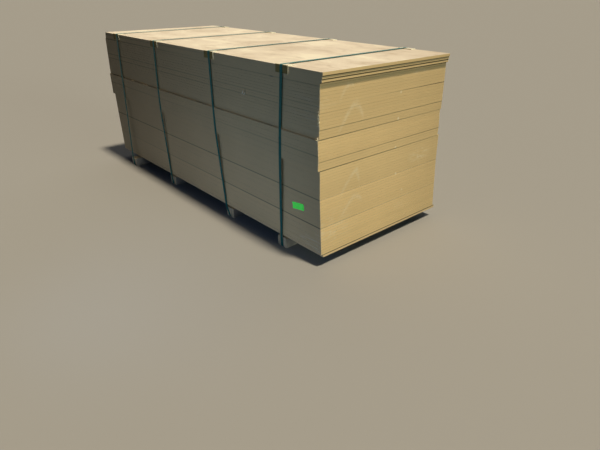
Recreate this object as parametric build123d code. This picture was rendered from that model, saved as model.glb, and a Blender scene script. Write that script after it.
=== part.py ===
from build123d import *
import os
from math import atan2, cos, hypot, tan

# A strapped pack of medium-density fibreboard on four bearers. Millimetres, +Z up.
# X runs along the boards, Y across them. The near side is -Y, and the floor is at Z = 0.

# Boards: full sheets, sawn square, all of one size
SHEET_LENGTH = 3050.0
SHEET_WIDTH = 1220.0
BOARD_THICKNESS = 19.0
BASE_THICKNESS = 19.0
BOARD_GAP = 0.24

# Lifts from the bottom up: the boards in each, the shift of its lowest board along X and along Y,
# and its lean, which is how much further its top board has slid. The press line laid the pack
# down in lifts, and each one landed a little out of line and settled a little askew.
LIFT_COUNTS = [10, 10, 10, 3, 7, 3, 7, 7]
LIFT_SHIFTS = [
    (21.0, 8.0),
    (9.6, 7.0),
    (-1.2, 5.5),
    (0.0, -16.0),
    (1.0, -16.0),
    (-5.5, -6.5),
    (-5.5, -7.0),
    (-11.2, -2.5),
]
LIFT_LEANS = [
    (-11.0, -0.8),
    (-10.2, -1.4),
    (-1.3, -3.5),
    (0.0, 0.0),
    (-8.5, 1.0),
    (-1.0, -0.5),
    (-5.3, 4.3),
    (-5.8, 4.3),
]
TOP_BOARD_SHIFTS = [(-2.5, 1.4), (0.0, 1.0), (5.0, 0.6)]
BASE_SHIFT = (19.5, 28.0)
BOARD_SCATTER = 0.3

# Bearers: five strips of board glued side by side and stood on edge, grooved below for the strap
BEARER_HEIGHT = 75.0
STRIP_THICKNESS = 18.0
STRIP_COUNT = 5
STRIP_END_STEPS = [0.0, 2.5, 1.0, 3.5, 1.5]
GLUE_LINE_GROOVE = 1.0
BEARER_SHORTFALL = 8.0
BEARER_LEFT_INSET = 347.0
BEARER_RIGHT_INSET = 380.0
BEARER_INNER_CENTRES = [-450.0, 489.0]
BEARER_NEAR_INSETS = [-45.0, 6.0, 7.0, 7.0]
STRAP_GROOVE_DEPTH = 2.5
STRAP_GROOVE_MARGIN = 4.0

# Straps: embossed polyester, friction-welded on the far side. Each one wanders sideways from
# the centre of its bearer by the drifts listed for it.
STRAP_WIDTH = 25.0
STRAP_THICKNESS = 1.0
STRAP_GAP = 0.3
STRAP_NEAR_TOP_DRIFTS = [-63.0, -46.0, -130.0, 29.0]
STRAP_NEAR_MIDDLE_DRIFTS = [-55.0, -34.0, -87.0, 19.0]
STRAP_NEAR_FOOT_DRIFTS = [-13.0, -15.0, -43.0, -3.0]
STRAP_FAR_TOP_DRIFTS = [-119.0, -48.0, -155.0, 3.0]
STRAP_BEND = 20.0
STRAP_LEAST_GAP = 0.1
WELD_LENGTH = 30.0
WELD_HEIGHT = 760.0

# Edge protectors: cut lengths of laminated cardboard angle under each strap
PROTECTOR_LEG = 50.0
PROTECTOR_THICKNESS = 4.0
PROTECTOR_LENGTH = 118.0
PROTECTOR_OUTER_RADIUS = 4.0
PROTECTOR_SEAT = 0.2
PROTECTOR_NEAR_DRIFTS = [-18.0, -2.0, -4.0, 3.0]
PROTECTOR_FAR_DRIFTS = [24.0, 25.0, 25.0, 24.0]

PITCH = BOARD_THICKNESS + BOARD_GAP
BASE_BOTTOM = BEARER_HEIGHT + BOARD_GAP
BEARER_LENGTH = SHEET_WIDTH - BEARER_SHORTFALL
BEARER_CENTRES = [
    BEARER_LEFT_INSET - SHEET_LENGTH / 2,
    *BEARER_INNER_CENTRES,
    SHEET_LENGTH / 2 - BEARER_RIGHT_INSET,
]
BEARER_NEAR_ENDS = [inset - SHEET_WIDTH / 2 for inset in BEARER_NEAR_INSETS]
STRAP_NEAR_TOPS = [x + drift for x, drift in zip(BEARER_CENTRES, STRAP_NEAR_TOP_DRIFTS)]
STRAP_FAR_TOPS = [x + drift for x, drift in zip(BEARER_CENTRES, STRAP_FAR_TOP_DRIFTS)]


def board(length, width, thickness, shift, bottom):
    """One sheet, its centre moved by shift, lying on the level called bottom."""
    centre = (shift[0], shift[1], bottom + thickness / 2)
    return Pos(*centre) * Box(length, width, thickness)


def scatter(number):
    """A small, repeatable misplacement of one board within its lift."""
    along = ((number * 5) % 7 - 3) / 3
    across = ((number * 3) % 5 - 2) / 2
    return BOARD_SCATTER * along, BOARD_SCATTER * across


def lay_boards():
    """Lay the pack from the base up. Returns the solids by node, and each board's section corners."""
    nodes = {}
    sections = []
    nodes["base_board"] = [board(SHEET_LENGTH, SHEET_WIDTH, BASE_THICKNESS, BASE_SHIFT, BASE_BOTTOM)]
    sections.append((BASE_SHIFT[1], BASE_BOTTOM, BASE_BOTTOM + BASE_THICKNESS))
    bottom = BASE_BOTTOM + BASE_THICKNESS + BOARD_GAP
    number = 0
    lifts = zip(LIFT_COUNTS, LIFT_SHIFTS, LIFT_LEANS)
    for lift, (count, (shift_x, shift_y), (lean_x, lean_y)) in enumerate(lifts, start=1):
        name = f"lift_{lift}"
        nodes[name] = []
        for place in range(count):
            share = place / max(count - 1, 1)
            along, across = scatter(number)
            shift = (shift_x + share * lean_x + along, shift_y + share * lean_y + across)
            nodes[name].append(board(SHEET_LENGTH, SHEET_WIDTH, BOARD_THICKNESS, shift, bottom))
            sections.append((shift[1], bottom, bottom + BOARD_THICKNESS))
            bottom += PITCH
            number += 1
    nodes["top_boards"] = []
    for shift in TOP_BOARD_SHIFTS:
        nodes["top_boards"].append(board(SHEET_LENGTH, SHEET_WIDTH, BOARD_THICKNESS, shift, bottom))
        sections.append((shift[1], bottom, bottom + BOARD_THICKNESS))
        bottom += PITCH
    return nodes, sections


def bearer(centre_x, near_end):
    """Five strips on edge, their long edges eased at the glue lines and their ends a little uneven."""
    body = None
    width = STRIP_COUNT * STRIP_THICKNESS
    for index in range(STRIP_COUNT):
        left = centre_x - width / 2 + index * STRIP_THICKNESS
        near = near_end + STRIP_END_STEPS[index]
        far = near_end + BEARER_LENGTH - STRIP_END_STEPS[-1 - index]
        strip = Pos(left + STRIP_THICKNESS / 2, (near + far) / 2, BEARER_HEIGHT / 2) * Box(
            STRIP_THICKNESS, far - near, BEARER_HEIGHT
        )
        below = strip.edges().filter_by(Axis.Y).group_by(Axis.Z)[0]
        strip = chamfer(below, GLUE_LINE_GROOVE)
        body = strip if body is None else body + strip
    groove_width = STRAP_WIDTH + 2 * STRAP_GROOVE_MARGIN
    groove = Pos(centre_x, near_end + BEARER_LENGTH / 2, STRAP_GROOVE_DEPTH / 2) * Box(
        groove_width, BEARER_LENGTH * 1.1, STRAP_GROOVE_DEPTH
    )
    return body - groove


def side_limit(sections, side, low, high):
    """The outermost board edge between two levels, on the near side (-1) or the far side (+1)."""
    edges = []
    for shift_y, bottom, top in sections:
        if bottom < high and top > low:
            edges.append(shift_y + side * SHEET_WIDTH / 2)
    return max(edges) if side > 0 else min(edges)


def protector(centre_x, side, edge_y, top):
    """A cardboard angle over the long top edge, its fold rounded as the plies were pressed."""
    y = edge_y + side * PROTECTOR_SEAT
    z = top + PROTECTOR_SEAT
    outer_y = y + side * PROTECTOR_THICKNESS
    outer_z = z + PROTECTOR_THICKNESS
    inner_y = outer_y - side * PROTECTOR_LEG
    low_z = outer_z - PROTECTOR_LEG
    x = centre_x - PROTECTOR_LENGTH / 2
    outline = Polyline(
        (x, outer_y, low_z), (x, outer_y, outer_z), (x, inner_y, outer_z),
        (x, inner_y, z), (x, y, z), (x, y, low_z), close=True,
    )
    angle = extrude(make_face(outline), amount=PROTECTOR_LENGTH, dir=(1, 0, 0))
    folds = angle.edges().filter_by(Axis.X)
    outside = folds.sort_by_distance((centre_x, outer_y, outer_z))[0]
    return fillet(outside, PROTECTOR_OUTER_RADIUS)


def hull(points):
    """Convex hull of (y, z) points, counter-clockwise, by the monotone chain."""
    ordered = sorted(set(points))

    def half(sequence):
        chain = []
        for p in sequence:
            while len(chain) > 1:
                a, b = chain[-2], chain[-1]
                if (b[0] - a[0]) * (p[1] - a[1]) - (b[1] - a[1]) * (p[0] - a[0]) > 0.5:
                    break
                chain.pop()
            chain.append(p)
        return chain[:-1]

    return half(ordered) + half(ordered[::-1])


def push_out(polygon, gap):
    """Move each edge of a counter-clockwise polygon outwards and join the edges again."""
    moved = []
    for index, here in enumerate(polygon):
        before = polygon[index - 1]
        after = polygon[(index + 1) % len(polygon)]
        e0 = (here[0] - before[0], here[1] - before[1])
        e1 = (after[0] - here[0], after[1] - here[1])
        n0 = (e0[1] / hypot(*e0), -e0[0] / hypot(*e0))
        n1 = (e1[1] / hypot(*e1), -e1[0] / hypot(*e1))
        scale = gap / (1 + n0[0] * n1[0] + n0[1] * n1[1])
        moved.append((here[0] + scale * (n0[0] + n1[0]), here[1] + scale * (n0[1] + n1[1])))
    return moved


def interpolate(value, table):
    """Straight-line interpolation in a table of (value, result) rows in rising order."""
    if value <= table[0][0]:
        return table[0][1]
    for (v0, r0), (v1, r1) in zip(table, table[1:]):
        if value <= v1:
            return r0 + (r1 - r0) * (value - v0) / (v1 - v0)
    return table[-1][1]


def bend(centre_x, at, start, end, normal_in, normal_out, radius):
    """A strap bend about the X direction, tangent to the runs before and after it."""
    centre = (start[0] - radius * normal_in[0], start[1] - radius * normal_in[1])
    middle = (at[0] - centre[0], at[1] - centre[1])
    middle = (middle[0] / hypot(*middle), middle[1] / hypot(*middle))
    x = centre_x - STRAP_WIDTH / 2

    def point(distance, direction):
        return (x, centre[0] + distance * direction[0], centre[1] + distance * direction[1])

    outer = radius + STRAP_THICKNESS
    inside = ThreePointArc(point(radius, normal_in), point(radius, middle), point(radius, normal_out))
    outside = ThreePointArc(point(outer, normal_out), point(outer, middle), point(outer, normal_in))
    first = Line(inside @ 1, outside @ 0)
    last = Line(outside @ 1, inside @ 0)
    section = make_face([inside, first, outside, last])
    return extrude(section, amount=STRAP_WIDTH, dir=(1, 0, 0))


def run(from_x, start, to_x, end, normal, thickness):
    """A straight stretch of strap that may lean along X, raised by its thickness along the normal."""
    half = STRAP_WIDTH / 2
    outline = Polyline(
        (from_x - half, *start), (from_x + half, *start), (to_x + half, *end), (to_x - half, *end), close=True
    )
    return extrude(make_face(outline), amount=thickness, dir=(0, *normal))


def strap(index, sections, near_protector, far_protector, top):
    """One closed loop that touches only what stands proud of the pack's section."""
    groove = STRAP_GROOVE_DEPTH
    near_end = BEARER_NEAR_ENDS[index]
    far_end = near_end + BEARER_LENGTH - min(STRIP_END_STEPS)
    supports = {
        (near_protector, top): PROTECTOR_OUTER_RADIUS + STRAP_GAP,
        (far_protector, top): PROTECTOR_OUTER_RADIUS + STRAP_GAP,
        (near_end, groove): STRAP_BEND,
        (far_end, groove): STRAP_BEND,
        (near_end, BEARER_HEIGHT): STRAP_BEND,
        (far_end, BEARER_HEIGHT): STRAP_BEND,
    }
    for shift_y, bottom, board_top in sections:
        for side in (-1, 1):
            for level in (bottom, board_top):
                supports.setdefault((shift_y + side * SHEET_WIDTH / 2, level), STRAP_BEND)
    corners = hull(list(supports))
    path = push_out(corners, STRAP_GAP)
    bearer_x = BEARER_CENTRES[index]
    near_x = [
        (groove, bearer_x),
        (BASE_BOTTOM, bearer_x + STRAP_NEAR_FOOT_DRIFTS[index]),
        (top / 2, bearer_x + STRAP_NEAR_MIDDLE_DRIFTS[index]),
        (top, STRAP_NEAR_TOPS[index]),
    ]
    far_x = [(groove, bearer_x), (top, STRAP_FAR_TOPS[index])]

    stations = []
    for order, (corner, at) in enumerate(zip(corners, path)):
        before = path[order - 1]
        if at[0] < 0 and at[1] < BASE_BOTTOM < before[1]:
            share = (BASE_BOTTOM - at[1]) / (before[1] - at[1])
            kink = (at[0] + share * (before[0] - at[0]), BASE_BOTTOM)
            stations.append((interpolate(BASE_BOTTOM, near_x), kink, 0.0))
        x = interpolate(at[1], near_x if at[0] < 0 else far_x)
        stations.append((x, at, supports[corner]))

    pieces = []
    ends = []
    for order, (x, at, radius) in enumerate(stations):
        before = stations[order - 1][1]
        after = stations[(order + 1) % len(stations)][1]
        way_in = (at[0] - before[0], at[1] - before[1])
        way_out = (after[0] - at[0], after[1] - at[1])
        d0 = (way_in[0] / hypot(*way_in), way_in[1] / hypot(*way_in))
        d1 = (way_out[0] / hypot(*way_out), way_out[1] / hypot(*way_out))
        turn = atan2(d0[0] * d1[1] - d0[1] * d1[0], d0[0] * d1[0] + d0[1] * d1[1])
        if radius == STRAP_BEND:
            reach = 1 / cos(turn / 2)
            radius = min(radius, (STRAP_GAP * reach - STRAP_LEAST_GAP) / (reach - 1))
        cut = radius * tan(turn / 2)
        start = (at[0] - cut * d0[0], at[1] - cut * d0[1])
        end = (at[0] + cut * d1[0], at[1] + cut * d1[1])
        if radius > 0:
            pieces.append(bend(x, at, start, end, (d0[1], -d0[0]), (d1[1], -d1[0]), radius))
        ends.append((x, start, end, d1))
    for order, (x, _, end, direction) in enumerate(ends):
        next_x, next_start, _, _ = ends[(order + 1) % len(ends)]
        normal = (direction[1], -direction[0])
        pieces.append(run(x, end, next_x, next_start, normal, STRAP_THICKNESS))
        if end[0] > 0 and end[1] < WELD_HEIGHT < next_start[1]:
            rise = next_start[1] - end[1]
            low = (WELD_HEIGHT - WELD_LENGTH / 2 - end[1]) / rise
            high = (WELD_HEIGHT + WELD_LENGTH / 2 - end[1]) / rise
            places = []
            for share in (low, high):
                y = end[0] + share * (next_start[0] - end[0])
                z = end[1] + share * rise
                places.append((x + share * (next_x - x), (y, z)))
            (low_x, low_at), (high_x, high_at) = places
            pieces.append(run(low_x, low_at, high_x, high_at, normal, 2 * STRAP_THICKNESS))
    loop = pieces[0]
    for piece in pieces[1:]:
        loop = loop + piece
    return loop


def build():
    """Every node of the pack, by name, about the pack's own centre line."""
    nodes, sections = lay_boards()
    stack_top = sections[-1][2]
    leg_low = stack_top + PROTECTOR_SEAT + PROTECTOR_THICKNESS - PROTECTOR_LEG
    near_edge = side_limit(sections, -1, leg_low, stack_top)
    far_edge = side_limit(sections, 1, leg_low, stack_top)
    outside = PROTECTOR_SEAT + PROTECTOR_THICKNESS
    for index, centre_x in enumerate(BEARER_CENTRES):
        number = index + 1
        nodes[f"bearer_{number}"] = [bearer(centre_x, BEARER_NEAR_ENDS[index])]
        nodes[f"edge_protector_near_{number}"] = [
            protector(STRAP_NEAR_TOPS[index] + PROTECTOR_NEAR_DRIFTS[index], -1, near_edge, stack_top)
        ]
        nodes[f"edge_protector_far_{number}"] = [
            protector(STRAP_FAR_TOPS[index] + PROTECTOR_FAR_DRIFTS[index], 1, far_edge, stack_top)
        ]
        nodes[f"strap_{number}"] = [
            strap(index, sections, near_edge - outside, far_edge + outside, stack_top + outside)
        ]
    return nodes


def main():
    nodes = build()
    boxes = [solid.bounding_box() for solids in nodes.values() for solid in solids]
    low_x = min(box.min.X for box in boxes)
    high_x = max(box.max.X for box in boxes)
    low_y = min(box.min.Y for box in boxes)
    high_y = max(box.max.Y for box in boxes)
    home = Pos(-(low_x + high_x) / 2, -(low_y + high_y) / 2, 0)
    os.makedirs("parts", exist_ok=True)
    for name, solids in nodes.items():
        placed = [home * solid for solid in solids]
        export_step(placed[0] if len(placed) == 1 else Compound(placed), f"parts/{name}.step")
    top = max(box.max.Z for box in boxes)
    print(f"{len(nodes)} nodes, box {high_x - low_x:.1f} x {high_y - low_y:.1f} x {top:.1f} mm")
    print(f"moved home by {home.position.X:.2f}, {home.position.Y:.2f} mm")


main()
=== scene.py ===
# %% [markdown]
# A strapped pack of fibreboard sheets.
# The pack comes from CAD: sixty sheets in lifts, a base sheet, four bearers, four straps and eight
# cardboard angles. This lesson dresses it. We load the frame first, because every piece that
# we make has to sit on it.

# %% Load the frame
import math

import bpy
import numpy as np
from mathutils import Matrix, Vector


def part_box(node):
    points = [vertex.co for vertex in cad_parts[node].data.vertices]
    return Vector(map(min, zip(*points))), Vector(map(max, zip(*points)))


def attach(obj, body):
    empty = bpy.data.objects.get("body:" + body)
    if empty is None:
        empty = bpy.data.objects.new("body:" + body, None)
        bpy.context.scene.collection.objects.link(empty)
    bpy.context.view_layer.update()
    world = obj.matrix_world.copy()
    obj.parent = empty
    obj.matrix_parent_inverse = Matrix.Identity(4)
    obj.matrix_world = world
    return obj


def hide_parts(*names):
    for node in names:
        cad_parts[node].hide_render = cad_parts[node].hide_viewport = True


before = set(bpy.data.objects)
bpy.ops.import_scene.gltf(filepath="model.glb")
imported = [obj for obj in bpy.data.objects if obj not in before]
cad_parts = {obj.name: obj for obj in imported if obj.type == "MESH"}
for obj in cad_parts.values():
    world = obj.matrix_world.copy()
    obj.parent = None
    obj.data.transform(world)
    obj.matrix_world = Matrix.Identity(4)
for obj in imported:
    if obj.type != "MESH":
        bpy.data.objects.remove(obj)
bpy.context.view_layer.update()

scene = bpy.context.scene
print("nodes:", len(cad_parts))

# %% [markdown]
# The camera. It stands off the near right-hand corner of the pack, at eye level, and looks down on
# it. It could be aimed with three Euler angles. We build its matrix instead, because each of its
# columns then has a meaning: the right-hand direction, the up direction and the backward one. A
# yaw, a pitch and a small roll give all three.

# %% Camera
IMAGE_WIDTH = 600
FOCAL_PIXELS = 489.14
SENSOR_MM = 36.0
YAW = math.radians(48.75)
PITCH = math.radians(26.54)
ROLL = math.radians(0.141)
CAMERA_PLACE = Vector((3.5286, -2.5182, 1.6978))


def look(yaw, pitch, roll):
    """Rotation of a camera that looks along (-sin yaw cos pitch, cos yaw cos pitch, -sin pitch)."""
    level = math.cos(pitch)
    forward = Vector((-math.sin(yaw) * level, math.cos(yaw) * level, -math.sin(pitch)))
    right = forward.cross(Vector((0, 0, 1))).normalized()
    up = right.cross(forward)
    tilted_right = right * math.cos(roll) + up * math.sin(roll)
    tilted_up = up * math.cos(roll) - right * math.sin(roll)
    return Matrix((tilted_right, tilted_up, -forward)).transposed()


camera_data = bpy.data.cameras.new("camera")
camera_data.sensor_width = SENSOR_MM
camera_data.lens = FOCAL_PIXELS / IMAGE_WIDTH * SENSOR_MM
camera = bpy.data.objects.new("camera", camera_data)
scene.collection.objects.link(camera)
camera.matrix_world = Matrix.Translation(CAMERA_PLACE) @ look(YAW, PITCH, ROLL).to_4x4()
scene.camera = camera
print("lens:", round(camera_data.lens, 2), "mm")

# %% [markdown]
# The lamps. A pack in a hall is lit by many ceiling lamps: its top is brightest, its right-hand end
# is next, and its long near side lies in soft shade. One lamp for each of these is easier to
# balance than a whole ceiling. The key is a sun high over the right-hand end, about 20 degrees off
# the vertical, and that angle also sets the height of the shadow band under the top sheets. A cool
# sun from the right, almost level, gives the end face the rest of its light and keeps the band
# from going black. Because it is so low, little of it reaches the floor under the pack. A wide,
# weak sun from behind and the left lights the two sides that those miss. The near side has a small
# blue panel in front of its right-hand half. A sun of strength pi shows a white surface that faces
# it as 1, so the suns' levels are multiples of pi. The panel's strength is in watts.

# %% Lamps
def hang(name, data, toward):
    """A lamp object that shines from the direction toward. A lamp shines down its own -Z."""
    lamp = bpy.data.objects.new(name, data)
    lamp.rotation_mode = "QUATERNION"
    lamp.rotation_quaternion = Vector(toward).to_track_quat("Z", "Y")
    scene.collection.objects.link(lamp)
    return lamp


def sun(name, toward, level, colour, disc):
    """A sun of a level, 1 for full white, whose disc is so many degrees wide."""
    data = bpy.data.lights.new(name, "SUN")
    data.energy = level * math.pi
    data.color = colour
    data.angle = math.radians(disc)
    return hang(name, data, toward)


def panel(name, place, target, size, watts, colour, spread):
    """A rectangular lamp at place that faces target, with a beam spread degrees wide."""
    data = bpy.data.lights.new(name, "AREA")
    data.shape = "RECTANGLE"
    data.size, data.size_y = size
    data.energy = watts
    data.color = colour
    data.spread = math.radians(spread)
    lamp = hang(name, data, Vector(place) - Vector(target))
    lamp.location = place
    lamp.visible_camera = False
    return lamp


sun("key", toward=(0.36, 0.065, 1.0), level=1.06, colour=(1.0, 0.93, 0.80), disc=6)
sun("fill_right", toward=(1.0, 0.12, 0.09), level=0.425, colour=(0.78, 0.93, 0.90), disc=24)
sun("fill_back", toward=(-0.5, 0.60, 0.8), level=0.14, colour=(0.95, 0.98, 1.0), disc=60)
panel(
    "near_panel", place=(1.12, -2.9, 0.80), target=(1.05, -0.6, 0.65),
    size=(0.9, 0.7), watts=2.6, colour=(0.26, 0.50, 1.0), spread=98,
)
scene.view_settings.view_transform = "Standard"

# %% [markdown]
# Formulas. The finishes below are worked out from a point's place, and in Blender that takes long
# chains of Math nodes. Written one node at a time, a chain hides its formula. So we wrap a node's
# output in a class. Where two of its values are added or multiplied, the Math node is added for
# us, and the code reads as the formula does.

# %% Values
class Value:
    """The output of a node. Arithmetic with it adds Math nodes to its tree and gives their outputs."""

    def __init__(self, tree, socket):
        self.tree = tree
        self.socket = socket

    def math(self, operation, *others):
        """Any Math node, by Blender's name for it, such as ABSOLUTE or MAXIMUM."""
        return self.tree.add("Math", self, *others, operation=operation)

    def clamped(self):
        """The value, held between 0 and 1."""
        return self.tree.add("Clamp", self)

    def __add__(self, other):
        return self.math("ADD", other)

    def __sub__(self, other):
        return self.math("SUBTRACT", other)

    def __rsub__(self, number):
        return self.tree.add("Math", number, self, operation="SUBTRACT")

    def __mul__(self, other):
        return self.math("MULTIPLY", other)

    def __truediv__(self, other):
        return self.math("DIVIDE", other)

    __radd__ = __add__
    __rmul__ = __mul__


print("made the class", Value.__name__)

# %% Trees
MIX_INPUTS = (0, 6, 7)
MIX_OUTPUT = 2


class Tree:
    """A node tree that is filled by calls. What goes into a node is a number, a colour or a Value."""

    def __init__(self, node_tree):
        self.node_tree = node_tree
        node_tree.nodes.clear()

    def fill(self, socket, value):
        """Link a Value to a socket, or write a plain number or colour into it."""
        if isinstance(value, Value):
            self.node_tree.links.new(value.socket, socket)
        else:
            socket.default_value = value

    def add(self, kind, *inputs, out=0, **named):
        """A node: its class without ShaderNode, its first inputs in order, and the others by name.

        Base_Color stands for the input Base Color. A name that is no input is one of its settings.
        """
        node = self.node_tree.nodes.new("ShaderNode" + kind)
        for key, value in named.items():
            spaced = key.replace("_", " ")
            if spaced in node.inputs:
                self.fill(node.inputs[spaced], value)
            else:
                setattr(node, key, value)
        for socket, value in zip(node.inputs, inputs):
            self.fill(socket, value)
        return Value(self, node.outputs[out]) if node.outputs else None

    def mix(self, share, first, second, blend="MIX"):
        """Two colours mixed, by the share of the second.

        A Mix node has sockets for each kind of data, so the colours' own are picked by number.
        """
        node = self.node_tree.nodes.new("ShaderNodeMix")
        node.data_type = "RGBA"
        node.blend_type = blend
        for at, value in zip(MIX_INPUTS, (share, first, second)):
            self.fill(node.inputs[at], value)
        return Value(self, node.outputs[MIX_OUTPUT])

    def shaded(self, colour, factor):
        """A colour times a factor."""
        return self.mix(1.0, colour, self.add("CombineColor", factor, factor, factor), "MULTIPLY")

    def axes(self, vector):
        """The X, Y and Z of a vector."""
        split = self.add("SeparateXYZ", vector).socket.node
        return [Value(self, axis) for axis in split.outputs]

    def noise(self, place, scale, detail, roughness=0.5, distortion=0.0):
        """Soft random values about 0.5, as many as scale to each metre of the place."""
        return self.add(
            "TexNoise", Vector=place,
            Scale=scale, Detail=detail, Roughness=roughness, Distortion=distortion,
        )


print("made the class", Tree.__name__)

# %% Two formulas that are used often
def smooth_step(value, low, high):
    """0 below low and 1 above high. Between them it is t t (3 - 2 t), where t runs from 0 to 1."""
    t = ((value - low) / (high - low)).clamped()
    return t * t * (3.0 - 2.0 * t)


def strongest(values):
    """The largest of several values."""
    largest = values[0]
    for value in values[1:]:
        largest = largest.math("MAXIMUM", value)
    return largest


print("made the formulas", smooth_step.__name__, "and", strongest.__name__)

# %% [markdown]
# The room. The camera should see a pale backdrop, but so much light from all round would wash out
# the shaded side. The Light Path node tells the two apart: rays from the camera, and those that are
# mirrored or refracted, see the backdrop, and the light's own rays see a dim blue air.

# %% Room
AIR, AIR_LEVEL = (0.36, 0.53, 1.0, 1.0), 0.06
BACKDROP, BACKDROP_LEVEL = (0.83, 0.84, 0.85, 1.0), 1.0


def seen_directly(tree):
    """1 for the camera's rays and for mirrored and refracted ones, 0 for the light's own rays."""
    kinds = ("Is Camera Ray", "Is Glossy Ray", "Is Transmission Ray")
    return strongest([tree.add("LightPath", out=kind) for kind in kinds])


world = bpy.data.worlds.new("room")
scene.world = world
world.use_nodes = True
tree = Tree(world.node_tree)
air = tree.add("Background", AIR, AIR_LEVEL)
backdrop = tree.add("Background", BACKDROP, BACKDROP_LEVEL)
tree.add("OutputWorld", tree.add("MixShader", seen_directly(tree), air, backdrop))
print("room:", world.name, "with", len(world.node_tree.nodes), "nodes")

# %% [markdown]
# The floor is plain and pale. To the camera it is the colour that we want to see. To the light that
# bounces off it, it is darker, because a really pale floor would wash out the shaded side. Only a
# patch in front of the near side bounces more, most of all at its right-hand end, and that lights
# the near side from below, as a lit floor does.

# %% Floor
FLOOR_HALF = 160.0
FLOOR_SHOWN = (0.33, 0.305, 0.258, 1.0)
DIM_BOUNCE = (0.02, 0.03, 0.05, 1.0)
PATCH_BOUNCE = (0.275, 0.355, 0.60, 1.0)
PATCH_LEFT, PATCH_RIGHT = (-1.6, 0.7), (1.5, 1.8)
PATCH_FRONT, PATCH_BACK = (-2.4, -1.3), (-0.75, -0.5)
LEFT_SHARE = 0.42


def new_piece(name, points, faces):
    """A mesh object from an array of points and a list of faces."""
    mesh = bpy.data.meshes.new(name)
    mesh.from_pydata(np.asarray(points, float).reshape(-1, 3).tolist(), [], [list(f) for f in faces])
    mesh.update()
    piece = bpy.data.objects.new(name, mesh)
    scene.collection.objects.link(piece)
    return piece


def new_material(name):
    """An empty material and its tree."""
    material = bpy.data.materials.new(name)
    material.use_nodes = True
    return material, Tree(material.node_tree)


corners = np.array([(-1, -1, 0), (1, -1, 0), (1, 1, 0), (-1, 1, 0)]) * FLOOR_HALF
floor = new_piece("floor", corners, [(0, 1, 2, 3)])
material, tree = new_material("pale_floor")
x, y, _ = tree.axes(tree.add("TexCoord", out="Object"))
along = LEFT_SHARE + smooth_step(x, *PATCH_LEFT) * (1.0 - LEFT_SHARE)
along = along * (1.0 - smooth_step(x, *PATCH_RIGHT))
before = smooth_step(y, *PATCH_FRONT) * (1.0 - smooth_step(y, *PATCH_BACK))
bounce = tree.mix(along * before, DIM_BOUNCE, PATCH_BOUNCE)
shown = tree.mix(seen_directly(tree), bounce, FLOOR_SHOWN)
tree.add("OutputMaterial", tree.add("BsdfDiffuse", Color=shown))
floor.data.materials.append(material)
print("floor:", 2 * FLOOR_HALF, "m square")

# %% [markdown]
# Fibreboard. A sheet is pressed from fine wood fibre, so it has no grain. Its faces are dense,
# sanded and cream. Its sawn edges are tan, a little darker at the two hard skins and paler and
# furrier at the core, and that draws the fine lines down a stack. A picture of a stack could be
# laid over the pack, but it would stretch with it. Here the finish is worked out from the object's
# own coordinates: the height says which sheet we are on and how far up its edge, and the surface's
# normal says whether this is a face or an edge.

# %% What a point on a board knows
SHEETS = 60
TOP_SHEETS = 3
FIRST_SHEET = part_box("lift_1")[0].z
SHEET_PITCH = (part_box("top_boards")[0].z - FIRST_SHEET) / (SHEETS - TOP_SHEETS)
FACING_UP, FACING_OUT = 0.7, 0.6
SKIN = (0.34, 0.48)
FIBRE_SCALE = (70.0, 70.0, 420.0)


class BoardPoint:
    """A point on a board: its place, the way it faces, its height in sheets and the fibre there."""

    def __init__(self, tree):
        self.tree = tree
        self.place = tree.add("TexCoord", out="Object")
        self.x, self.y, self.z = tree.axes(self.place)
        normal = tree.axes(tree.add("NewGeometry", out="Normal"))
        self.nx, self.ny, nz = [part.math("ABSOLUTE") for part in normal]
        self.is_face = nz.math("GREATER_THAN", FACING_UP)
        faces_along = self.nx.math("GREATER_THAN", FACING_OUT)
        faces_across = self.ny.math("GREATER_THAN", FACING_OUT)
        self.is_end = faces_along * self.x.math("GREATER_THAN", 0.0)
        self.is_near = faces_across * self.y.math("LESS_THAN", 0.0)

        # How many sheets up we are, how far from the middle of this one, and its own tone
        self.height = (self.z - FIRST_SHEET) / SHEET_PITCH
        from_core = (self.height.math("FRACT") - 0.5).math("ABSOLUTE")
        self.is_skin = smooth_step(from_core, *SKIN)
        self.tone = tree.add("TexWhiteNoise", noise_dimensions="1D", W=self.height.math("FLOOR"))

        # Fur on the edges, slow clouds everywhere and fine speckle on the faces
        fibres = tree.add("Mapping", self.place, Scale=FIBRE_SCALE)
        self.fur = tree.noise(fibres, scale=1.0, detail=4.0, roughness=0.6)
        self.cloud = tree.noise(self.place, scale=2.6, detail=5.0, roughness=0.55)
        self.speckle = tree.noise(self.place, scale=420.0, detail=2.0)


print("first sheet at", round(FIRST_SHEET, 5), "and one every", round(SHEET_PITCH, 5), "m")

# %% [markdown]
# The seams. Where two sheets meet tightly, only their skins draw a line. Some seams are dark, most
# of all between lifts and under the top sheets. That is mostly painted shade, where the sheets above
# overhang those below by a hair, and some dirt. A gap could be cut into the sheets, but it would be
# far finer than a pixel. So the darkness is painted: each seam has a level, counted in sheets, and
# one strength at each end of the face. A negative strength means that the seam fades out before it
# gets there.

# %% Painted shade in the seams
HALF_WIDTH = 0.6
HALF_LENGTH = 1.5
SEAM_DROP = 0.06
END_SEAM_WIDTH = 0.22
NEAR_SEAM_WIDTH = 0.30
# Painted shade under the overhanging sheets, with some dirt
# Level, and strength at the near and at the far corner
END_SEAM_SHADE = [
    (0, 1.30, 1.10), (0.15, 0.45, 0.35), (10, 0.68, 0.20), (20, 0.38, 0.38),
    (30, 1.30, -0.35), (33, 0.52, 0.52), (40, 0.95, -0.15), (43, 0.24, 0.42),
    (48, 0.20, -0.05), (50, -0.60, 0.90), (56.8, 0.85, 0.90), (57, 1.00, 1.00),
    (57.85, 0.40, 0.45), (58, 1.10, 0.90), (58.85, 0.50, 0.30), (59, 1.00, 0.60),
]
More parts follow.
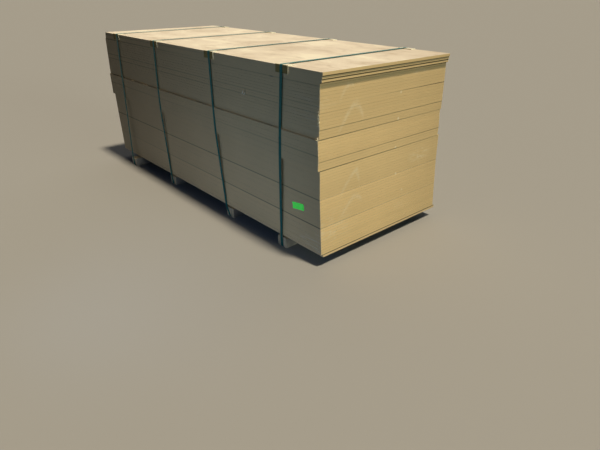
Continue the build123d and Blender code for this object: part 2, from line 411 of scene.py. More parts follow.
# Level, and strength at the left and at the right end
NEAR_SEAM_SHADE = [
    (10, 0.10, 0.95), (20, 0.75, 0.68), (35, -0.25, 0.40), (36, 0.45, -0.35), (40, 0.95, 0.42),
    (48, 0.35, 0.12), (50, 0.45, 0.18), (56, -0.05, 0.20), (57, 0.75, -0.50), (59, 0.50, -0.20),
]


def seams(height, share, width, lines):
    """Painted shade of the seams just under their levels, whose strength runs evenly along the face."""
    total = 0.0
    for level, first, last in lines:
        away = (height - (level - SEAM_DROP)).math("ABSOLUTE")
        strength = (first + share * (last - first)).clamped()
        total = total + (1.0 - away / width).clamped() * strength
    return total


def painted_seam_shade(board):
    """Painted shade in the seams of the end, from near to far, and of the near side, from left to right.
    """
    across = (board.y + HALF_WIDTH) / (2 * HALF_WIDTH)
    along = (board.x + HALF_LENGTH) / (2 * HALF_LENGTH)
    on_end = seams(board.height, across, END_SEAM_WIDTH, END_SEAM_SHADE) * board.is_end
    on_near = seams(board.height, along, NEAR_SEAM_WIDTH, NEAR_SEAM_SHADE) * board.is_near
    return on_end + on_near


print("dark seams:", len(END_SEAM_SHADE), "on the end and", len(NEAR_SEAM_SHADE), "on the near side")

# %% [markdown]
# The shade of the sawn edges. No two sheets are quite alike, and a pack has stood in dust and
# light. One factor holds all of that, so that a single colour can be multiplied by it: 1, plus or
# minus each sheet's own tone, its fur and slow clouds, paler tops of the lower lifts, and a slow
# change over the whole end.

# %% Shade of the edges
LONG_SIDE_CONTRAST = 0.35
TONE_SPREAD, FUR_SPREAD, CLOUD_SPREAD = 0.05, 0.07, 0.16
LIFT_SHEETS = 10
# First sheet of a lift, and the share of its paleness that the long sides show too
PALE_TOPS = [(0, 0.3), (10, 0.15), (20, 0.0), (30, 0.0)]
PALE_TOP_GAIN = 0.18
PALE_AT_MIDDLE, PALER_PER_METRE = 0.45, 0.75
TOWARD_NEAR = -0.13
MIDDLE_REACH = 0.55
LOWER_PART = (0.70, 1.0)
MIDDLE_GAIN = 0.07
NEAR_SKIN_GAIN = 0.06


def uneven_fibre(board):
    """1, give or take the tone, the fur and the clouds. The long sides show less of the first two."""
    contrast = LONG_SIDE_CONTRAST + board.nx * (1.0 - LONG_SIDE_CONTRAST)
    spread = (board.tone - 0.5) * TONE_SPREAD + (board.fur - 0.5) * FUR_SPREAD
    return 1.0 + contrast * spread + (board.cloud - 0.5) * CLOUD_SPREAD


def pale_tops(board):
    """The lower lifts grow paler with the square of the way up, most of all by the near corner."""
    toward_near = (PALE_AT_MIDDLE - board.y * PALER_PER_METRE).clamped()
    total = 0.0
    for first, at_side in PALE_TOPS:
        rise = (board.height - first) / LIFT_SHEETS
        inside = (rise - 0.5).math("ABSOLUTE").math("LESS_THAN", 0.5)
        shown = at_side + board.is_end * (1.0 - at_side)
        total = total + inside * (rise * rise) * shown * toward_near * PALE_TOP_GAIN
    return total


def slow_change(board):
    """The end is paler towards the near side, and in its lower part towards its middle."""
    middle = (1.0 - board.y.math("ABSOLUTE") / MIDDLE_REACH).clamped()
    lower = 1.0 - smooth_step(board.z, *LOWER_PART)
    return board.y * board.is_end * TOWARD_NEAR + middle * lower * (board.is_end * MIDDLE_GAIN)


def edge_shade(board):
    """The sum of all of these, less the painted shade in the seams."""
    shade = uneven_fibre(board) + pale_tops(board) + slow_change(board)
    return shade - painted_seam_shade(board) + board.is_skin * board.is_near * NEAR_SKIN_GAIN


print("lifts with pale tops start at sheets", [first for first, _ in PALE_TOPS])

# %% [markdown]
# The marks on the end. Something has rubbed over it and left pale strokes, whitish clouds and a few
# chipped arrises. They could be painted by hand on a picture, but a picture needs a map of the
# surface. Each mark is a small formula of the place instead: a soft spot, or a stroke that climbs to
# a rounded peak and falls again. A noise breaks them up, because the rubbed fibre is rough.

# %% Marks on the end
# Peak, slopes and reaches to its left and right, roundness and width
STROKES = [
    ((-0.302, 1.031), (1.55, 2.2), (0.17, 0.085), 0.10, 0.018),
    ((-0.277, 0.602), (1.32, 2.9), (0.16, 0.045), 0.05, 0.018),
    ((-0.279, 0.424), (1.15, 1.1), (0.17, 0.080), 0.05, 0.020),
    ((-0.364, 1.152), (1.55, 0.5), (0.09, 0.050), 0.05, 0.015),
]
# Middle, radii and strength
CLOUDS = [
    (0.40, 0.570, 0.15, 0.075, 1.0),
    (-0.50, 0.25, 0.26, 0.17, 0.70),
    (0.33, 1.165, 0.12, 0.04, 0.6),
    (-0.56, 1.065, 0.10, 0.05, 0.7),
    (0.20, 0.225, 0.09, 0.03, 0.6),
]
# Middle and radius
CHIPS = [
    (0.118, 0.875, 0.012),
    (0.110, 0.678, 0.011),
    (0.140, 0.478, 0.012),
    (0.130, 1.046, 0.011),
    (0.217, 0.340, 0.009),
]
print("marks on the end:", len(STROKES), "strokes,", len(CLOUDS), "clouds and", len(CHIPS), "chips")

# %% Spots and strokes
FADES_FROM = 0.6


def spot(across, up, middle, radii):
    """Mask of a soft oval spot: 1 less the distance from its middle, counted in radii."""
    u = (across - middle[0]) / radii[0]
    w = (up - middle[1]) / radii[1]
    return (1.0 - (u * u + w * w).math("SQRT")).clamped()


def stroke(across, up, peak, slopes, reaches, bend, width):
    """Mask of a rubbed stroke that goes up to a rounded peak and down again.

    The line falls from the peak by sqrt((slope d)^2 + bend^2) - bend at a distance d from it. It
    has one slope and one reach on each side.
    """
    d = across - peak[0]
    slope = slopes[0] + d.math("GREATER_THAN", 0.0) * (slopes[1] - slopes[0])
    steep = d * slope
    fall = (steep * steep + bend * bend).math("SQRT")
    away = (up + fall - (peak[1] + bend)).math("ABSOLUTE") / (1.0 + slope * slope).math("SQRT")
    left, right = reaches
    left_end = smooth_step(d, -left, -FADES_FROM * left)
    right_end = 1.0 - smooth_step(d, FADES_FROM * right, right)
    return (1.0 - smooth_step(away, 0.0, width)) * (left_end * right_end)


print("a stroke starts to fade at", FADES_FROM, "of its reach")

# %% All marks on the end
STROKE_STRENGTH, CLOUD_STRENGTH, CHIP_STRENGTH = 0.36, 0.62, 0.5
# How many times harder than a soft spot a chip's rim is
CHIP_RIM = 2.2
GRIT, NEVER_BROKEN = (0.36, 0.64), 0.35
HATCH, HATCH_SCALE, HATCH_TURN = (0.42, 0.68), (1.0, 16.0, 60.0), (0.5, 0.0, 0.0)


def end_marks(board):
    """Mask of all marks on the end: strokes, hatched clouds and chips."""
    tree, y, z = board.tree, board.y, board.z
    grit = tree.noise(board.place, scale=38.0, detail=5.0, roughness=0.7)
    broken = NEVER_BROKEN + smooth_step(grit, *GRIT) * (1.0 - NEVER_BROKEN)
    hatch_place = tree.add("Mapping", board.place, Scale=HATCH_SCALE, Rotation=HATCH_TURN)
    hatch = smooth_step(tree.noise(hatch_place, scale=1.0, detail=3.0), *HATCH)
    strokes = strongest([stroke(y, z, *values) for values in STROKES])
    clouds = strongest([spot(y, z, (a, b), (u, w)) * strength for a, b, u, w, strength in CLOUDS])
    chips = strongest([(spot(y, z, (a, b), (r, r)) * CHIP_RIM).clamped() for a, b, r in CHIPS])
    rubbed = strongest([strokes * STROKE_STRENGTH, clouds * hatch * CLOUD_STRENGTH]) * broken
    return strongest([rubbed, chips * CHIP_STRENGTH]) * board.is_end


print("grit leaves at least", NEVER_BROKEN, "of every mark")

# %% [markdown]
# The marks on the near side, and the pale corners. Fuzzy pale streaks run along the sheets near the
# right-hand end, low down and again higher up. The low ones are in part a painted light, for the
# floor's bounce there. There is a dark smudge near the top, and beside the splinters a painted
# shadow. The streaks are a noise that is stretched along the sheets by a Mapping node, and each mask
# only says where they may show. A corner is where the surface faces both ways at once. It is painted
# paler, as a painted highlight where the rounded corner catches the light and as crushed fibre.

# %% Marks on the near side
STREAK_SCALE, STREAKS = (9.0, 9.0, 230.0), (0.50, 0.66)
STREAKS_FROM = (1.12, 1.53)
# Low streaks by the right-hand end: in part painted light, for the floor's bounce
LOW_STREAKS_AND_BOUNCE = (0.14, 0.30)
HIGH_STREAKS = ((0.80, 0.95), (1.05, 1.16))
HIGH_SHARE = 0.5
STREAK_AND_BOUNCE_STRENGTH = 0.5
# Middle and radii: a smudge, and a painted shadow beside the splinters
SMUDGE_AND_SHADOW_SPOTS = [((1.069, 1.170), (0.030, 0.006)), ((0.786, 1.034), (0.012, 0.024))]
ROUNDED = (0.15, 0.45)
# Painted highlight on the rounded corners, with crushed fibre
CORNER_HIGHLIGHT, CORNER_HIGHLIGHT_SPREAD = 0.3, 0.6


def pale_streaks_and_bounce_light(board):
    """Mask of the pale streaks: a stretched noise, times where they lie. The low ones are partly painted
    light.
    """
    drag_place = board.tree.add("Mapping", board.place, Scale=STREAK_SCALE)
    drag = smooth_step(board.tree.noise(drag_place, scale=1.0, detail=4.0), *STREAKS)
    low = 1.0 - smooth_step(board.z, *LOW_STREAKS_AND_BOUNCE)
    rising, falling = HIGH_STREAKS
    high = smooth_step(board.z, *rising) * (1.0 - smooth_step(board.z, *falling))
    lie = strongest([low, high * HIGH_SHARE])
    return drag * smooth_step(board.x, *STREAKS_FROM) * lie * STREAK_AND_BOUNCE_STRENGTH * board.is_near


def smudge_and_splinter_shadow(board):
    """Mask of the smudge and of the painted shadow beside the splinters."""
    spots = [spot(board.x, board.z, middle, radii) for middle, radii in SMUDGE_AND_SHADOW_SPOTS]
    return strongest(spots) * board.is_near


def painted_corner_highlight(board):
    """Mask of the rounded corners, painted paler: a painted highlight, and crushed fibre. Each sheet's
    tone says how much.
    """
    corner = smooth_step(board.nx.math("MINIMUM", board.ny), *ROUNDED)
    return corner * (CORNER_HIGHLIGHT + board.tone * CORNER_HIGHLIGHT_SPREAD)


print("dark marks on the near side:", len(SMUDGE_AND_SHADOW_SPOTS))

# %% [markdown]
# The faces. Only the top sheet shows a whole one, cream with brown water clouding and paler rubbed
# patches. Two noises of different size give the clouding, so that it doesn't look stamped. Inside
# a lift, the sheets overlap by a hair, and those narrow ledges are painted dark: painted shade, with
# some dust. Left cream, each of them would catch the key as a row of bright grains.

# %% Faces
BLEACHED = (0.84, 0.73, 0.50, 1.0)
# Painted shade on the ledges inside a lift, with some dust
STAIN_AND_SHADE_BROWN = (0.44, 0.32, 0.19, 1.0)
SHADED_DUSTY_LEDGE = (0.37, 0.26, 0.125, 1.0)
WIDE_STAIN, WIDE_STRENGTH = (0.46, 0.70), 0.55
FINE_STAIN, FINE_STRENGTH = (0.50, 0.74), 0.50
# The far right-hand corner of the top: painted shade, for its weaker sheen
FAR_RIGHT_X, FAR_RIGHT_Y, FAR_RIGHT_SHADE = (0.5, 1.5), (-0.1, 0.6), 0.45
BLEACH, BLEACH_STRENGTH = (0.32, 0.48), 0.7
STAIN_AND_SHADE_STRENGTH = 0.95
SPECKLE_LEAST, SPECKLE_SPREAD = 0.95, 0.10
LIFT_TOPS = (10, 20, 30, 33, 40, 43, 50, 57)
LEVEL_TOLERANCE = 0.2
PACK_TOP = SHEETS - 0.3
UNSHADED_FROM = 1.5


def clouded_face(board, face):
    """The face's colour: paler where the wide noise is low, brown where either noise is high.

    The far right-hand corner of the top is painted darker than the rest: painted shade, for its weaker
    sheen.
    """
    tree = board.tree
    wide_place = tree.add("Mapping", board.place, Location=(3.1, 0.4, 0.0), Scale=(2.4, 3.4, 1.0))
    wide = tree.noise(wide_place, scale=1.0, detail=6.0, roughness=0.6, distortion=0.5)
    fine_place = tree.add(
        "Mapping", board.place,
        Location=(0.7, 5.2, 0.0), Scale=(5.0, 13.0, 1.0), Rotation=(0.0, 0.0, 0.5),
    )
    fine = tree.noise(fine_place, scale=1.0, detail=6.0, roughness=0.62, distortion=0.8)
    wide_stain = smooth_step(wide, *WIDE_STAIN) * WIDE_STRENGTH
    fine_stain = smooth_step(fine, *FINE_STAIN) * FINE_STRENGTH
    far_right_shade = smooth_step(board.x, *FAR_RIGHT_X) * smooth_step(board.y, *FAR_RIGHT_Y)
    stain_and_shade = (wide_stain + fine_stain + far_right_shade * FAR_RIGHT_SHADE).clamped()
    bleach = 1.0 - smooth_step(wide, *BLEACH)
    colour = tree.mix(bleach * BLEACH_STRENGTH, face, BLEACHED)
    colour = tree.mix(stain_and_shade * STAIN_AND_SHADE_STRENGTH, colour, STAIN_AND_SHADE_BROWN)
    return tree.shaded(colour, SPECKLE_LEAST + board.speckle * SPECKLE_SPREAD)


def shaded_dusty_ledges(board):
    """Mask of the painted shade and dust: every face but the top of the pack and of each lift at the
    right.
    """
    tops = strongest([board.height.math("COMPARE", top, LEVEL_TOLERANCE) for top in LIFT_TOPS])
    at_right = tops * board.x.math("GREATER_THAN", UNSHADED_FROM)
    unshaded = strongest([at_right, board.height.math("GREATER_THAN", PACK_TOP)])
    return (board.is_face - unshaded).clamped()


print("clean lift tops at sheets", LIFT_TOPS)

# %% [markdown]
# All of it together. The edge starts with the line that its skins draw, is multiplied by its shade,
# and takes the marks and the painted highlights and shadow on top. The face takes its clouding and
# the ledges their painted shade and dust. The relief is a very shallow bump, because sanded board is
# smooth and even sawn fibre is only a little furry.

# %% Fibreboard material
RUBBED_FIBRE_AND_HIGHLIGHT = (0.90, 0.76, 0.47, 1.0)
# A smudge, and the painted shadow beside the splinters
SMUDGE_AND_SHADOW, SMUDGE_AND_SHADOW_STRENGTH = (0.12, 0.10, 0.07, 1.0), 0.6
SIDE_LINE, END_LINE_MORE = 0.04, 0.18
SPECKLE_RELIEF = 0.25
EDGE_SHINE, FACE_SHINE_MORE = 0.05, 0.20


def fibreboard(name, face, edge, skin):
    """Fibreboard with the given colours for its faces, the core of its edges and their skins."""
    material, tree = new_material(name)
    board = BoardPoint(tree)

    # The long sides were cut by a finer saw, so their lines are weaker
    skin_line = board.is_skin * (SIDE_LINE + board.nx * END_LINE_MORE)
    plain_edge = tree.shaded(tree.mix(skin_line, edge, skin), edge_shade(board))
    # Rubbed fibre, with the painted highlight of the corners and painted light low on the near side
    pale_marks_and_highlights = strongest([end_marks(board), pale_streaks_and_bounce_light(board), painted_corner_highlight(board)])
    edge_with_marks_and_painted_light = tree.mix(pale_marks_and_highlights, plain_edge, RUBBED_FIBRE_AND_HIGHLIGHT)
    edge_with_marks_and_painted_light = tree.mix(smudge_and_splinter_shadow(board) * SMUDGE_AND_SHADOW_STRENGTH, edge_with_marks_and_painted_light, SMUDGE_AND_SHADOW)

    face_colour = tree.mix(shaded_dusty_ledges(board), clouded_face(board, face), SHADED_DUSTY_LEDGE)
    colour = tree.mix(board.is_face, edge_with_marks_and_painted_light, face_colour)

    relief = (1.0 - board.is_face) * board.fur + board.speckle * SPECKLE_RELIEF
    bump = tree.add("Bump", Strength=0.2, Distance=0.0004, Height=relief)
    shine = EDGE_SHINE + board.is_face * FACE_SHINE_MORE
    surface = tree.add(
        "BsdfPrincipled", Base_Color=colour, Roughness=0.7, Normal=bump, Specular_IOR_Level=shine
    )
    tree.add("OutputMaterial", surface)
    return material


board_finish = fibreboard(
    "fibreboard",
    face=(0.71, 0.585, 0.405, 1.0), edge=(0.735, 0.50, 0.222, 1.0), skin=(0.50, 0.33, 0.13, 1.0),
)
base_finish = fibreboard(
    "base_fibreboard",
    face=(0.55, 0.43, 0.28, 1.0), edge=(0.75, 0.52, 0.25, 1.0), skin=(0.50, 0.34, 0.14, 1.0),
)
print("fibreboard nodes:", len(board_finish.node_tree.nodes))

# %% [markdown]
# The sheets. A sawn sheet has crisp arrises, and its four upright corners are a little crushed from
# handling. A Bevel modifier would round all of these alike, so each sheet is a closed shell on a
# grid instead. One parameter runs round the outline, a rectangle with small round corners, each of
# its own radius. The other runs up the edge, over the lower arris, the flat and the upper arris. The
# CAD node gives every sheet's own box, so the shells stand exactly where the solids do.

# %% Boxes of the sheets
DECIMALS = 5
TOLERANCE = 2e-5
LIFTS = ["base_board", *(f"lift_{k}" for k in range(1, 9)), "top_boards"]


def sheet_boxes(node):
    """Lowest and highest corner of every sheet in a CAD node: its points, sorted by height."""
    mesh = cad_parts[node].data
    points = np.zeros(len(mesh.vertices) * 3)
    mesh.vertices.foreach_get("co", points)
    points = points.reshape(-1, 3)
    heights = np.unique(points[:, 2].round(DECIMALS))
    boxes = []
    for low, high in zip(heights[0::2], heights[1::2]):
        inside = points[(points[:, 2] > low - TOLERANCE) & (points[:, 2] < high + TOLERANCE)]
        boxes.append((inside.min(0), inside.max(0)))
    return np.array(boxes)


boxes = {node: sheet_boxes(node) for node in LIFTS}
print("sheets in each node:", {node: len(found) for node, found in boxes.items()})

# %% Sheet shells
CORNER_STEPS = 4
ARRIS_STEPS = 3


def sheet_shells(boxes, corner_radii, arris):
    """Shells for all sheets at once, as an array of sheet, row, column and coordinate.

    A column at angle a on a corner stands at that corner's centre plus (radius - inset) times
    (cos a, sin a). A row at angle b on an arris is inset by arris times (1 - cos b), and it stands
    arris times (1 - sin |b|) in from the sheet's lower or upper face.
    """
    signs = np.array([(1, -1), (1, 1), (-1, 1), (-1, -1)])
    turn = np.linspace(0, np.pi / 2, CORNER_STEPS)
    start = np.array([-np.pi / 2, 0, np.pi / 2, np.pi])
    angle = (start[:, None] + turn[None, :]).ravel()
    corner = np.repeat(np.arange(4), CORNER_STEPS)
    lower = np.linspace(-np.pi / 2, 0, ARRIS_STEPS)
    inset = arris * (1 - np.cos(np.concatenate([lower, lower[::-1]])))
    into = arris * (1 + np.sin(lower))
    low, high = boxes[:, 0], boxes[:, 1]
    z = np.concatenate([low[:, 2, None] + into, high[:, 2, None] - into[::-1]], axis=1)
    middle = (low + high)[:, :2] / 2
    half = (high - low)[:, :2] / 2
    radius = corner_radii[:, corner]
    centre = middle[:, None, :] + signs[corner][None] * (half[:, None, :] - radius[..., None])
    reach = radius[:, None, :] - inset[None, :, None]
    x = centre[:, None, :, 0] + reach * np.cos(angle)
    y = centre[:, None, :, 1] + reach * np.sin(angle)
    return np.stack([x, y, np.broadcast_to(z[..., None], x.shape)], axis=-1)


def shell_faces(count, rows, columns):
    """Quads round each shell, and one many-sided face at its top and one at its bottom."""
    ids = np.arange(count * rows * columns).reshape(count, rows, columns)
    after = np.roll(ids, -1, axis=2)
    quads = np.stack([ids[:, :-1], after[:, :-1], after[:, 1:], ids[:, 1:]], axis=-1)
    faces = quads.reshape(-1, 4).tolist()
    faces += ids[:, -1].tolist()
    faces += ids[:, 0, ::-1].tolist()
    return faces


print("each shell has", 2 * ARRIS_STEPS, "rows of", 4 * CORNER_STEPS, "points")

# %% One piece for each lift
ARRIS = 0.00008
CORNER_RADII = (0.0009, 0.0018)
# Up to this is added to the radius of a near right-hand corner, and more in the knocked lifts
CRUSHED = 0.0008
MORE_CRUSHED = {"lift_4": 0.0035, "lift_5": 0.0040, "lift_7": 0.0022}
NEAR_RIGHT = 0
SEED = 19
rng = np.random.default_rng(SEED)
for node in LIFTS:
    count = len(boxes[node])
    radii = rng.uniform(*CORNER_RADII, (count, 4))
    radii[:, NEAR_RIGHT] += rng.uniform(0.0, 1.0, count) * MORE_CRUSHED.get(node, CRUSHED)
    shells = sheet_shells(boxes[node], radii, ARRIS)
    piece = new_piece(f"sheets_{node}", shells, shell_faces(*shells.shape[:3]))
    base = node == "base_board"
    piece.data.materials.append(base_finish if base else board_finish)
    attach(piece, "root")
    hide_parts(node)
    print(piece.name, "sheets:", count, "faces:", len(piece.data.polygons))

# %% [markdown]
# Torn fibre. Where the pack was knocked, pale tufts stick out of the near right-hand corner, and
# two splinters have been dragged up from the near side. Hair could make such a fringe, but it is no
# mesh, so an export leaves it out. A ribbon is one, and torn fibre is flat like a ribbon. At a share
# s of its length it stands at root + s length along + s^2 droop, and its width falls with s^2 too.

# %% Ribbons
RIBBON_STEPS = 5
TIP_LOSS = 0.75


def ribbons(roots, along, side, lengths, widths, droop):
    """Points of all ribbons, as an array of ribbon, step, edge and coordinate."""
    s = np.linspace(0.0, 1.0, RIBBON_STEPS)[None, :, None, None]
    edge = np.array([-0.5, 0.5])[None, None, :, None]
    roots, along, side, droop = (a[:, None, None, :] for a in (roots, along, side, droop))
    lengths, widths = (a[:, None, None, None] for a in (lengths, widths))
    return roots + s * lengths * along + edge * widths * (1.0 - TIP_LOSS * s**2) * side + s**2 * droop


def unit(arrows):
    """The same vectors at length 1."""
    return arrows / np.linalg.norm(arrows, axis=-1, keepdims=True)


def vectors(x, y, z):
    """Vectors from their coordinates, each an array or one number for all."""
    return np.stack(np.broadcast_arrays(x, y, z), axis=-1)


print("each ribbon has", 2 * RIBBON_STEPS, "points")

# %% Tufts on the corner
# How many tufts each sheet has, counted from the first one above the base board
TUFTS = {44: 4, 45: 8, 46: 18, 47: 12, 48: 5, 39: 14, 40: 5}
# How far up its sheet's edge a tuft stands. One sheet is torn only just under its upper face
TUFT_SHARES = (0.1, 0.95)
TORN_AT_TOP, TOP_SHARE = 39, 0.96
TUFT_INSETS, TUFT_DEPTH = (0.0012, 0.0110), 0.0004
# Limits of the X, Y and Z of its way
TUFT_WAYS = ((-0.5, 0.9), (-1.0, -0.4), (-0.5, 0.7))
TUFT_TWISTS, TUFT_LEAN = (-0.4, 0.4), -0.2
TUFT_LENGTHS, TUFT_WIDTHS = (0.004, 0.012), (0.002, 0.006)
TUFT_SAGS = (-0.003, 0.001)
torn = np.concatenate([np.full(number, sheet) for sheet, number in TUFTS.items()])
sheets = np.concatenate([boxes[node] for node in LIFTS if node != "base_board"])
low, high = sheets[torn, 0], sheets[torn, 1]


def draw(least, most):
    """One random value for each tuft."""
    return rng.uniform(least, most, len(torn))


share = np.where(torn == TORN_AT_TOP, TOP_SHARE, draw(*TUFT_SHARES))
height = low[:, 2] + share * (high[:, 2] - low[:, 2])
roots = vectors(high[:, 0] - draw(*TUFT_INSETS), low[:, 1] + TUFT_DEPTH, height)
along = unit(vectors(*(draw(*limits) for limits in TUFT_WAYS)))
side = unit(np.cross(along, vectors(draw(*TUFT_TWISTS), TUFT_LEAN, 1.0)))
droop = vectors(0.0, 0.0, draw(*TUFT_SAGS))
tufts = ribbons(roots, along, side, draw(*TUFT_LENGTHS), draw(*TUFT_WIDTHS), droop)
print("tufts:", len(tufts))

# %% Splinters on the near side
SPLINTER_SHEET = 48
SPLINTER_ROOT = 0.0006
# Root (X, Z), the way it was dragged, length, width and how far its tip curls out
SPLINTERS = [
    ((0.747, 1.012), (0.042, -0.001, 0.040), 0.050, 0.0070, 0.012),
    ((0.766, 1.009), (0.046, -0.001, 0.034), 0.042, 0.0060, 0.010),
]
places, ways, lengths, widths, curls = (np.array(column) for column in zip(*SPLINTERS))
face_y = sheets[SPLINTER_SHEET, 0, 1] - SPLINTER_ROOT
dragged = unit(ways)
upward = unit(np.cross(dragged, (0.0, 1.0, 0.0)))
starts = vectors(places[:, 0], face_y, places[:, 1])
splinters = ribbons(starts, dragged, upward, lengths, widths, vectors(0.0, -curls, 0.0))
print("splinters:", len(splinters))

# %% One piece of torn fibre
FIBRE_THICKNESS = 0.0003
PALE_FIBRE = (0.97, 0.86, 0.56, 1.0)
points = np.concatenate([tufts, splinters])
ids = np.arange(points.shape[0] * RIBBON_STEPS * 2).reshape(-1, RIBBON_STEPS, 2)
quads = np.stack([ids[:, :-1, 0], ids[:, :-1, 1], ids[:, 1:, 1], ids[:, 1:, 0]], axis=-1).reshape(-1, 4)
fibre = new_piece("torn_fibre", points, quads)
thicken = fibre.modifiers.new("sliver", "SOLIDIFY")
thicken.thickness = FIBRE_THICKNESS
material, tree = new_material("pale_fibre")
tree.add("OutputMaterial", tree.add("BsdfPrincipled", Base_Color=PALE_FIBRE, Roughness=0.9))
fibre.data.materials.append(material)
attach(fibre, "root")
print("torn fibre:", len(points), "ribbons")

# %% [markdown]
# The bearers are offcuts of board glued side by side and stood on edge, so their ends and tops show
# upright stripes, each strip with its own tone. The CAD solids already have the strips, the eased
# glue lines and the uneven ends, so they stay as they are and only need the finish. Each bearer's
# finish counts its strips from its own left side, because a shared one would put the stripes
# beside the strips.

# %% Bearer finish
STRIP = 0.018
STRIP_DARK, STRIP_PALE = (0.62, 0.45, 0.215, 1.0), (0.76, 0.57, 0.31, 1.0)
# Cream of the sanded sides, painted paler as painted light from the right
SANDED_AND_LIT_SIDE = (0.90, 0.80, 0.64, 1.0)
GLUE = (0.16, 0.12, 0.08, 1.0)
GLUE_LINE, GLUE_STRENGTH = (0.42, 0.49), 0.7
GRIME = (0.17, 0.15, 0.12, 1.0)
GRIMY_UP_TO, GRIME_LEAST, GRIME_MORE = 0.05, 0.25, 0.6
FUR_LEAST, FUR_MORE = 0.86, 0.28
SEEDS_APART = 10.0
# Each of the four places along the pack has a bearer, a strap and two edge protectors
PLACES = range(1, 5)


def bearer_finish(name, left, seed):
    """Glued strips of board. A strip's number is the distance from the left side over its width."""
    material, tree = new_material(name)
    place = tree.add("TexCoord", out="Object")
    x, _, z = tree.axes(place)
    across = (x - left) / STRIP
    tone = tree.add("TexWhiteNoise", noise_dimensions="1D", W=across.math("FLOOR") + seed)
    from_middle = (across.math("FRACT") - 0.5).math("ABSOLUTE")
    fibres = tree.add("Mapping", place, Scale=(500.0, 60.0, 60.0))
    fur = tree.noise(fibres, scale=1.0, detail=4.0, roughness=0.65)
    wood = tree.mix(tone, STRIP_DARK, STRIP_PALE)

    # The two long sides are the sanded faces of the outer strips, so they are cream, and painted
    # paler than the sheets' faces as painted light, for the light from the right that reaches them
    nx = tree.axes(tree.add("NewGeometry", out="Normal"))[0].math("ABSOLUTE")
    wood = tree.mix(smooth_step(nx, 0.6, 0.9), wood, SANDED_AND_LIT_SIDE)
    wood = tree.mix(smooth_step(from_middle, *GLUE_LINE) * GLUE_STRENGTH, wood, GLUE)
    low = 1.0 - smooth_step(z, 0.0, GRIMY_UP_TO)
    dirt = smooth_step(tree.noise(place, scale=14.0, detail=5.0, roughness=0.6), 0.42, 0.7)
    wood = tree.mix(dirt * (GRIME_LEAST + low * GRIME_MORE), wood, GRIME)
    wood = tree.shaded(wood, FUR_LEAST + fur * FUR_MORE)
    bump = tree.add("Bump", Strength=0.5, Distance=0.0008, Height=fur)
    surface = tree.add("BsdfPrincipled", Base_Color=wood, Roughness=0.85, Normal=bump)
    tree.add("OutputMaterial", surface)
    return material


def refinish(node, material):
    """Give a CAD node its material. Its mesh stays as it is."""
    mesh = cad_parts[node].data
    mesh.materials.clear()
    mesh.materials.append(material)


for k in PLACES:
    low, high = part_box(f"bearer_{k}")
    refinish(f"bearer_{k}", bearer_finish(f"bearer_finish_{k}", low.x, SEEDS_APART * k))
    print(f"bearer_{k}", "from x", round(low.x, 3), "to", round(high.x, 3))

# %% [markdown]
# The straps are green polyester, rolled with a fine waffle so that they grip. Modelled, it would
# take a great many faces, so it is a bump, the product of two sine waves. It runs with the
# strap, and the straps go up the sides and over the top. So one wave follows the width, along X,
# and the other follows the sum of Y and Z, because only one of them changes on a straight run.

# %% Strap finish
WAFFLE_PITCH = 0.0032
STRAP_GREEN = (0.006, 0.105, 0.082, 1.0)
WORN_GREEN, WEAR = (0.05, 0.20, 0.165, 1.0), 0.35
material, tree = new_material("green_strap")
place = tree.add("TexCoord", out="Object")
x, y, z = tree.axes(place)
turns = 2 * math.pi / WAFFLE_PITCH
waffle = ((y + z) * turns).math("SINE") * (x * turns).math("SINE")
worn = smooth_step(tree.noise(place, scale=30.0, detail=4.0, roughness=0.6), 0.5, 0.75)
green = tree.mix(worn * WEAR, STRAP_GREEN, WORN_GREEN)
bump = tree.add("Bump", Strength=0.4, Distance=0.0003, Height=waffle)
surface = tree.add(
    "BsdfPrincipled", Base_Color=green, Roughness=0.5, Normal=bump, Specular_IOR_Level=0.14
)
tree.add("OutputMaterial", surface)
for k in PLACES:
    refinish(f"strap_{k}", material)
    low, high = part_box(f"strap_{k}")
    print(f"strap_{k}", "is", round(high.z - low.z, 3), "m high")

# %% [markdown]
# The edge protectors are angles of laminated cardboard. Outside they are brown paper. The top leg is
# painted paler: a painted sheen, as the top shows it at a grazing view, and some dust. Their cut ends
# show the pale plies, as fine lines that follow both legs. Stripes along one axis would cross one of
# the legs, so a ply's depth is the distance from the outer skin, which on an angle is the smaller of
# the distances from its two outer faces.

# %% Cardboard finish
PLY = 0.0008
PLY_DARK, PLY_PALE = (0.84, 0.78, 0.52, 1.0), (0.95, 0.92, 0.70, 1.0)
PAPER = (0.27, 0.185, 0.05, 1.0)
WORN_PAPER, PAPER_WEAR = (0.36, 0.27, 0.11, 1.0), 0.4
# Top leg: painted sheen, with some dust
PAPER_DUST_AND_SHEEN, DUST_AND_SHEEN_SHARE = (0.78, 0.68, 0.48, 1.0), 0.9


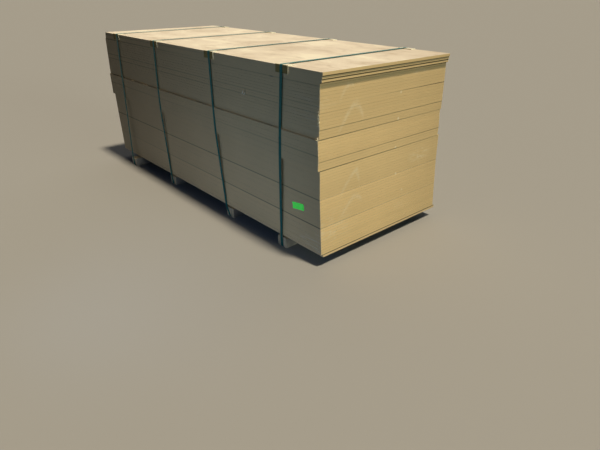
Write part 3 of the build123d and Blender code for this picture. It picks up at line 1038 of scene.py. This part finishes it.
def cardboard(name, outer_y, side, top):
    """Laminated cardboard angle. side is -1 for the near edge and +1 for the far one."""
    material, tree = new_material(name)
    place = tree.add("TexCoord", out="Object")
    _, y, z = tree.axes(place)
    nx, _, nz = tree.axes(tree.add("NewGeometry", out="Normal"))
    is_cut = nx.math("ABSOLUTE").math("GREATER_THAN", FACING_UP)
    is_top = smooth_step(nz, 0.6, 0.95)
    depth = ((outer_y - y) * side).math("MINIMUM", top - z)
    ply = (depth * (2 * math.pi / PLY)).math("SINE")
    cut = tree.mix(0.5 + ply * 0.35, PLY_DARK, PLY_PALE)
    worn = smooth_step(tree.noise(place, scale=24.0, detail=5.0, roughness=0.65), 0.5, 0.72)
    paper = tree.mix(worn * PAPER_WEAR, PAPER, WORN_PAPER)
    # The top leg is painted paler: painted sheen and dust
    paper = tree.mix(is_top * DUST_AND_SHEEN_SHARE, paper, PAPER_DUST_AND_SHEEN)
    colour = tree.mix(is_cut, paper, cut)
    grain = tree.noise(place, scale=220.0, detail=3.0)
    bump = tree.add("Bump", Strength=0.35, Distance=0.0005, Height=grain)
    surface = tree.add(
        "BsdfPrincipled", Base_Color=colour, Roughness=0.8, Normal=bump, Specular_IOR_Level=0.2
    )
    tree.add("OutputMaterial", surface)
    return material


for name, side in (("near", -1.0), ("far", 1.0)):
    low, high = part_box(f"edge_protector_{name}_1")
    outer = low.y if side < 0 else high.y
    finish = cardboard(f"cardboard_{name}", outer, side, high.z)
    for k in PLACES:
        refinish(f"edge_protector_{name}_{k}", finish)
    print(name, "protectors: outer face at y", round(outer, 4))

# %% [markdown]
# The label is a small bright green sticker on the near side, stuck on a little askew and left
# blank. Painted into the board's finish it would lie dead flat. So it is a sheet of its own, a grid
# with a thickness, and the distance of its corners from the board is a product of two powers of the
# distance from its middle. That keeps the sticker flat nearly everywhere and just lifts its corners.
# Its ink is fluorescent, and a weak emission imitates that.

# %% Label
LABEL_MIDDLE = (1.3183, 0.3730)
LABEL_SIZE = (0.112, 0.046)
LABEL_TILT = math.radians(-8)
LABEL_THICKNESS = 0.00025
LABEL_GAP = 0.0003
LABEL_CURL = 0.0022
CURL_POWERS = (6, 4)
LABEL_GRID = (41, 21)
LABEL_GREEN, CREASED_GREEN = (0.06, 0.85, 0.07, 1.0), (0.10, 0.95, 0.12, 1.0)
LABEL_GLOW, GLOW_LEVEL = (0.05, 0.80, 0.06, 1.0), 0.26


def label_surface(u, v, board_y):
    """Points of the label for u and v from -1 to 1: a tilted rectangle that curls off as |u|^6 |v|^4."""
    local_x = u * LABEL_SIZE[0] / 2
    local_z = v * LABEL_SIZE[1] / 2
    x = LABEL_MIDDLE[0] + local_x * math.cos(LABEL_TILT) + local_z * math.sin(LABEL_TILT)
    z = LABEL_MIDDLE[1] - local_x * math.sin(LABEL_TILT) + local_z * math.cos(LABEL_TILT)
    y = board_y - LABEL_CURL * np.abs(u) ** CURL_POWERS[0] * np.abs(v) ** CURL_POWERS[1]
    return np.stack([x, y, z], axis=-1)


u, v = np.meshgrid(*(np.linspace(-1, 1, steps) for steps in LABEL_GRID))
board_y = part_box("lift_2")[0].y
front = label_surface(u, v, board_y - LABEL_GAP - LABEL_THICKNESS)
ids = np.arange(u.size).reshape(u.shape)
quads = np.stack([ids[:-1, :-1], ids[:-1, 1:], ids[1:, 1:], ids[1:, :-1]], axis=-1).reshape(-1, 4)
label = new_piece("label", front, quads)
thicken = label.modifiers.new("paper", "SOLIDIFY")
thicken.thickness = LABEL_THICKNESS
thicken.offset = -1.0
print("label:", len(quads), "faces, on the board face at y", round(board_y, 4))

# %% Label finish
material, tree = new_material("green_label")
crease = tree.noise(tree.add("TexCoord", out="Object"), scale=60.0, detail=3.0)
ink = tree.mix(smooth_step(crease, 0.45, 0.7), LABEL_GREEN, CREASED_GREEN)
surface = tree.add(
    "BsdfPrincipled", Base_Color=ink, Roughness=0.45,
    Emission_Color=LABEL_GLOW, Emission_Strength=GLOW_LEVEL,
)
tree.add("OutputMaterial", surface)
label.data.materials.append(material)
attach(label, "root")
print("label finish:", material.name)
